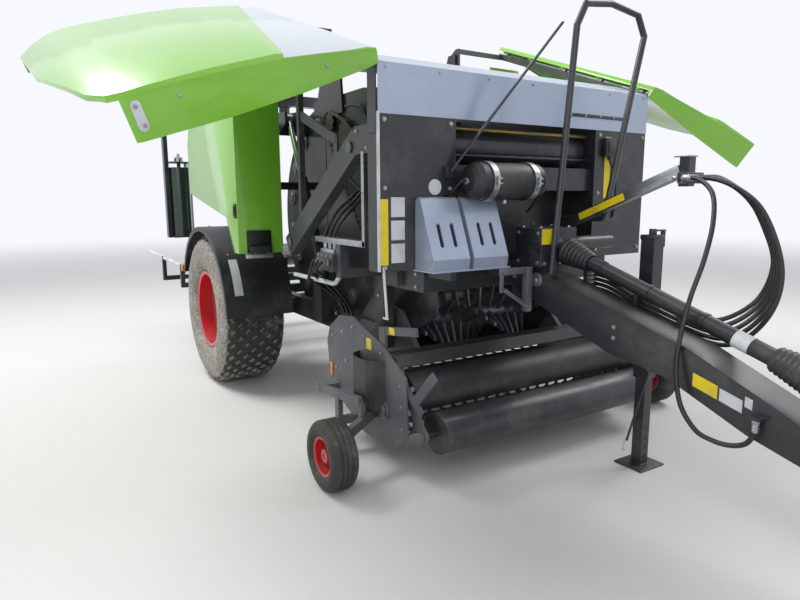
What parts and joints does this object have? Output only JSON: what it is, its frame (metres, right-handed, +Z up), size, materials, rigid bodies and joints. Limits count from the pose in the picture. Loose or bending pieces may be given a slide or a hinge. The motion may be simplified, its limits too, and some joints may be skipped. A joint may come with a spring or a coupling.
{
  "type": "round baler with wrapping table",
  "caption": "Towed round baler with a roller chamber, tine pickup, raised side hoods and a wrapping table behind the lifting tailgate.",
  "frame": {"origin": "on the ground below the middle of the machine's length and width, hitch eye to rear rail, hoods open", "axes": "+X to the machine's left, +Y to its rear, +Z up; it is towed towards -Y"},
  "size_m": [5.091, 7.4193, 3.09],
  "materials": {
    "steel_dark": "satin paint, dusty",
    "steel_grey": "zinc plated, matt",
    "body_green": "gloss paint",
    "silver_paint": "metallic paint",
    "rim_red": "gloss paint",
    "tyre": "dusty rubber",
    "black_plastic": "matt",
    "yellow_sheet": "printed sheet",
    "white_sheet": "printed sheet",
    "rail_white": "gloss paint",
    "lamp_orange": "clear over orange",
    "film": "stretched film",
    "hose": "smooth rubber",
    "rod_chrome": "hard chrome",
    "lamp_red": "clear red"
  },
  "bodies": {
    "chassis": {"frame": "steel_dark", "chamber_front": "steel_dark", "rollers_front": "steel_grey", "drive_chains": "steel_grey", "side_works": "steel_grey", "front_panels": "steel_dark", "cross_panel": "silver_paint", "roof_cover": "body_green", "net_box": "steel_dark", "air_tank": "black_plastic", "wheel_chocks": "silver_paint", "hand_rail": "steel_dark", "hose_arm": "steel_dark", "drawbar": "steel_dark", "hitch_eye": "steel_grey", "gearbox": "steel_dark", "pto_shaft": "black_plastic", "fenders": "black_plastic", "yellow_plates": "yellow_sheet", "white_plates": "white_sheet", "wrap_gantry": "steel_dark", "side_rails": "rail_white", "lamps": "lamp_orange", "tail_lamps": "lamp_red", "hose_1": "hose", "hose_2": "hose", "hose_3": "hose", "hose_4": "hose", "hose_5": "hose", "hose_6": "hose"},
    "wheel_r": {"tyre_r": "tyre", "rim_r": "rim_red"},
    "wheel_l": {"tyre_l": "tyre", "rim_l": "rim_red"},
    "hood_r": {"hood_r": "body_green"},
    "hood_l": {"hood_l": "body_green"},
    "tailgate": {"tailgate": "steel_dark", "rollers_rear": "steel_grey", "rear_covers": "body_green"},
    "lift_barrels": {"lift_barrels": "black_plastic"},
    "lift_rods": {"lift_rods": "rod_chrome"},
    "pickup": {"pickup_frame": "steel_grey", "pickup_guards": "black_plastic"},
    "tine_reel": {"tine_reel": "steel_grey"},
    "feed_rotor": {"feed_rotor": "steel_grey"},
    "crop_roller": {"crop_roller": "steel_dark"},
    "gauge_wheel_r": {"gauge_tyre_r": "tyre", "gauge_rim_r": "rim_red"},
    "gauge_wheel_l": {"gauge_tyre_l": "tyre", "gauge_rim_l": "rim_red"},
    "parking_leg": {"parking_leg": "steel_dark"},
    "wrap_arm": {"wrap_arm": "steel_dark", "film_rolls": "film"},
    "wrap_table": {"wrap_table": "steel_grey"}
  },
  "joints": [
    {"name": "wheel_r_turn", "type": "hinge", "parent": "chassis", "child": "wheel_r", "pos_m": [-1.0079, 1.159, 0.665], "axis": [1, 0, 0], "continuous": true},
    {"name": "wheel_l_turn", "type": "hinge", "parent": "chassis", "child": "wheel_l", "pos_m": [1.3921, 1.159, 0.665], "axis": [1, 0, 0], "continuous": true},
    {"name": "hood_r_close", "type": "hinge", "parent": "chassis", "child": "hood_r", "pos_m": [-0.9779, -1.441, 2.4], "axis": [0, -0.9397, -0.342], "range_deg": [0, 68]},
    {"name": "hood_l_close", "type": "hinge", "parent": "chassis", "child": "hood_l", "pos_m": [1.3621, -1.441, 2.4], "axis": [0, 0.9397, 0.342], "range_deg": [0, 60]},
    {"name": "tailgate_lift", "type": "hinge", "parent": "chassis", "child": "tailgate", "pos_m": [0.1921, 0.229, 2.86], "axis": [1, 0, 0], "range_deg": [0, 46]},
    {"name": "lift_swing", "type": "hinge", "parent": "chassis", "child": "lift_barrels", "pos_m": [0.1921, -0.091, 1], "axis": [1, 0, 0], "range_deg": [-3.3, 0.1]},
    {"name": "lift_stroke", "type": "slide", "parent": "lift_barrels", "child": "lift_rods", "axis": [0, 0.4361, 0.8999], "range_m": [0, 0.4938]},
    {"name": "pickup_lift", "type": "hinge", "parent": "chassis", "child": "pickup", "pos_m": [0.1921, -0.791, 0.78], "axis": [-1, 0, 0], "range_deg": [0, 14]},
    {"name": "reel_turn", "type": "hinge", "parent": "pickup", "child": "tine_reel", "pos_m": [0.1921, -1.291, 0.36], "axis": [1, 0, 0], "continuous": true},
    {"name": "rotor_turn", "type": "hinge", "parent": "chassis", "child": "feed_rotor", "pos_m": [0.1921, -0.791, 0.78], "axis": [1, 0, 0], "continuous": true},
    {"name": "crop_roller_turn", "type": "hinge", "parent": "pickup", "child": "crop_roller", "pos_m": [0.1921, -1.661, 0.3], "axis": [1, 0, 0], "continuous": true},
    {"name": "gauge_wheel_r_turn", "type": "hinge", "parent": "pickup", "child": "gauge_wheel_r", "pos_m": [-1.2379, -1.401, 0.205], "axis": [1, 0, 0], "continuous": true},
    {"name": "gauge_wheel_l_turn", "type": "hinge", "parent": "pickup", "child": "gauge_wheel_l", "pos_m": [1.6221, -1.401, 0.205], "axis": [1, 0, 0], "continuous": true},
    {"name": "leg_raise", "type": "slide", "parent": "chassis", "child": "parking_leg", "axis": [0, 0, 1], "range_m": [0, 0.3]},
    {"name": "wrap_arm_turn", "type": "hinge", "parent": "chassis", "child": "wrap_arm", "pos_m": [0.1921, 2.759, 2.8], "axis": [0, 0, 1], "continuous": true},
    {"name": "table_tip", "type": "hinge", "parent": "chassis", "child": "wrap_table", "pos_m": [0.1921, 3.159, 0.87], "axis": [-1, 0, 0], "range_deg": [0, 35]}
  ],
  "couplings": [
    {"joint": "lift_swing", "follows": "tailgate_lift", "ratio": -0.067898},
    {"joint": "lift_stroke", "follows": "tailgate_lift", "m_per_rad": 0.61259}
  ]
}
